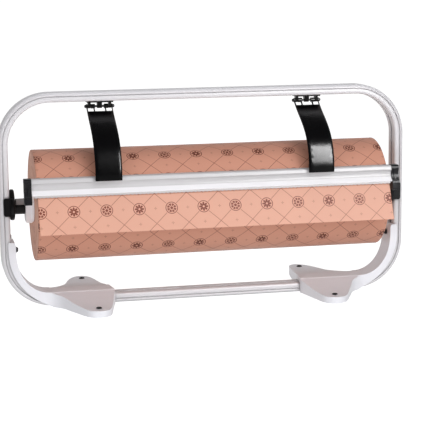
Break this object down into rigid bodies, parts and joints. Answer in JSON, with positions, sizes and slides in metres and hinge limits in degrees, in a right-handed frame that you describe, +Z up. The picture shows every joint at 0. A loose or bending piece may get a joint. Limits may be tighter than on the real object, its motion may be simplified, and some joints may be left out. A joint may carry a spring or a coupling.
{
  "type": "counter-top gift wrap roll cutter",
  "caption": "Upright looped frame on splayed feet that carries a wide roll of gift wrap on an axle, with a spring-hung cutting bar across its front.",
  "frame": {"origin": "centre of the footprint on the counter, at the underside of the rubber pads", "axes": "+X to the right along the roll as seen from the front, +Y to the back, +Z up; the paper comes off at the front, towards -Y"},
  "size_m": [0.589, 0.2299, 0.303],
  "materials": {
    "white_frame": "satin",
    "white_plastic": "satin",
    "black_plastic": "satin",
    "black_gloss": "gloss",
    "rubber_black": "matte",
    "steel": "satin",
    "black_steel": "satin",
    "core_board": "matte",
    "wrap_paper": "satin"
  },
  "bodies": {
    "stand": {"frame_loop": "white_frame", "foot_right": "white_plastic", "foot_left": "white_plastic", "rubber_pads": "rubber_black", "strip_screws": "black_steel", "slot_nuts": "black_steel", "bearing_right": "black_plastic", "bearing_left": "black_plastic", "bearing_clamp_screws": "black_plastic", "spring_clip_left": "black_gloss", "spring_clip_right": "black_gloss", "clip_pins": "steel"},
    "cutter": {"cutting_bar": "white_frame", "cutting_edge": "steel", "end_cap_right": "black_gloss", "end_cap_left": "black_gloss", "spring_band_left": "black_gloss", "spring_band_right": "black_gloss", "band_shoes": "black_plastic", "shoe_screws": "steel"},
    "axle": {"axle_tube": "steel", "axle_end_plugs": "black_plastic", "paper_web": "wrap_paper"},
    "roll": {"roll_cone_left": "white_plastic", "roll_cone_right": "white_plastic", "core_tube": "core_board", "paper_roll": "wrap_paper"}
  },
  "joints": [
    {"name": "cutter_swing", "type": "hinge", "parent": "stand", "child": "cutter", "pos_m": [0, -0.0156, 0.2816], "axis": [-1, 0, 0], "range_deg": [0, 60], "stiffness_Nm_per_rad": 0.5, "springref_deg": -20.05},
    {"name": "roll_lift", "type": "slide", "parent": "stand", "child": "axle", "axis": [0, 0.6691, 0.7431], "range_m": [0, 0.25]},
    {"name": "roll_spin", "type": "hinge", "parent": "axle", "child": "roll", "pos_m": [0, -0.0146, 0.1449], "axis": [1, 0, 0], "continuous": true}
  ]
}
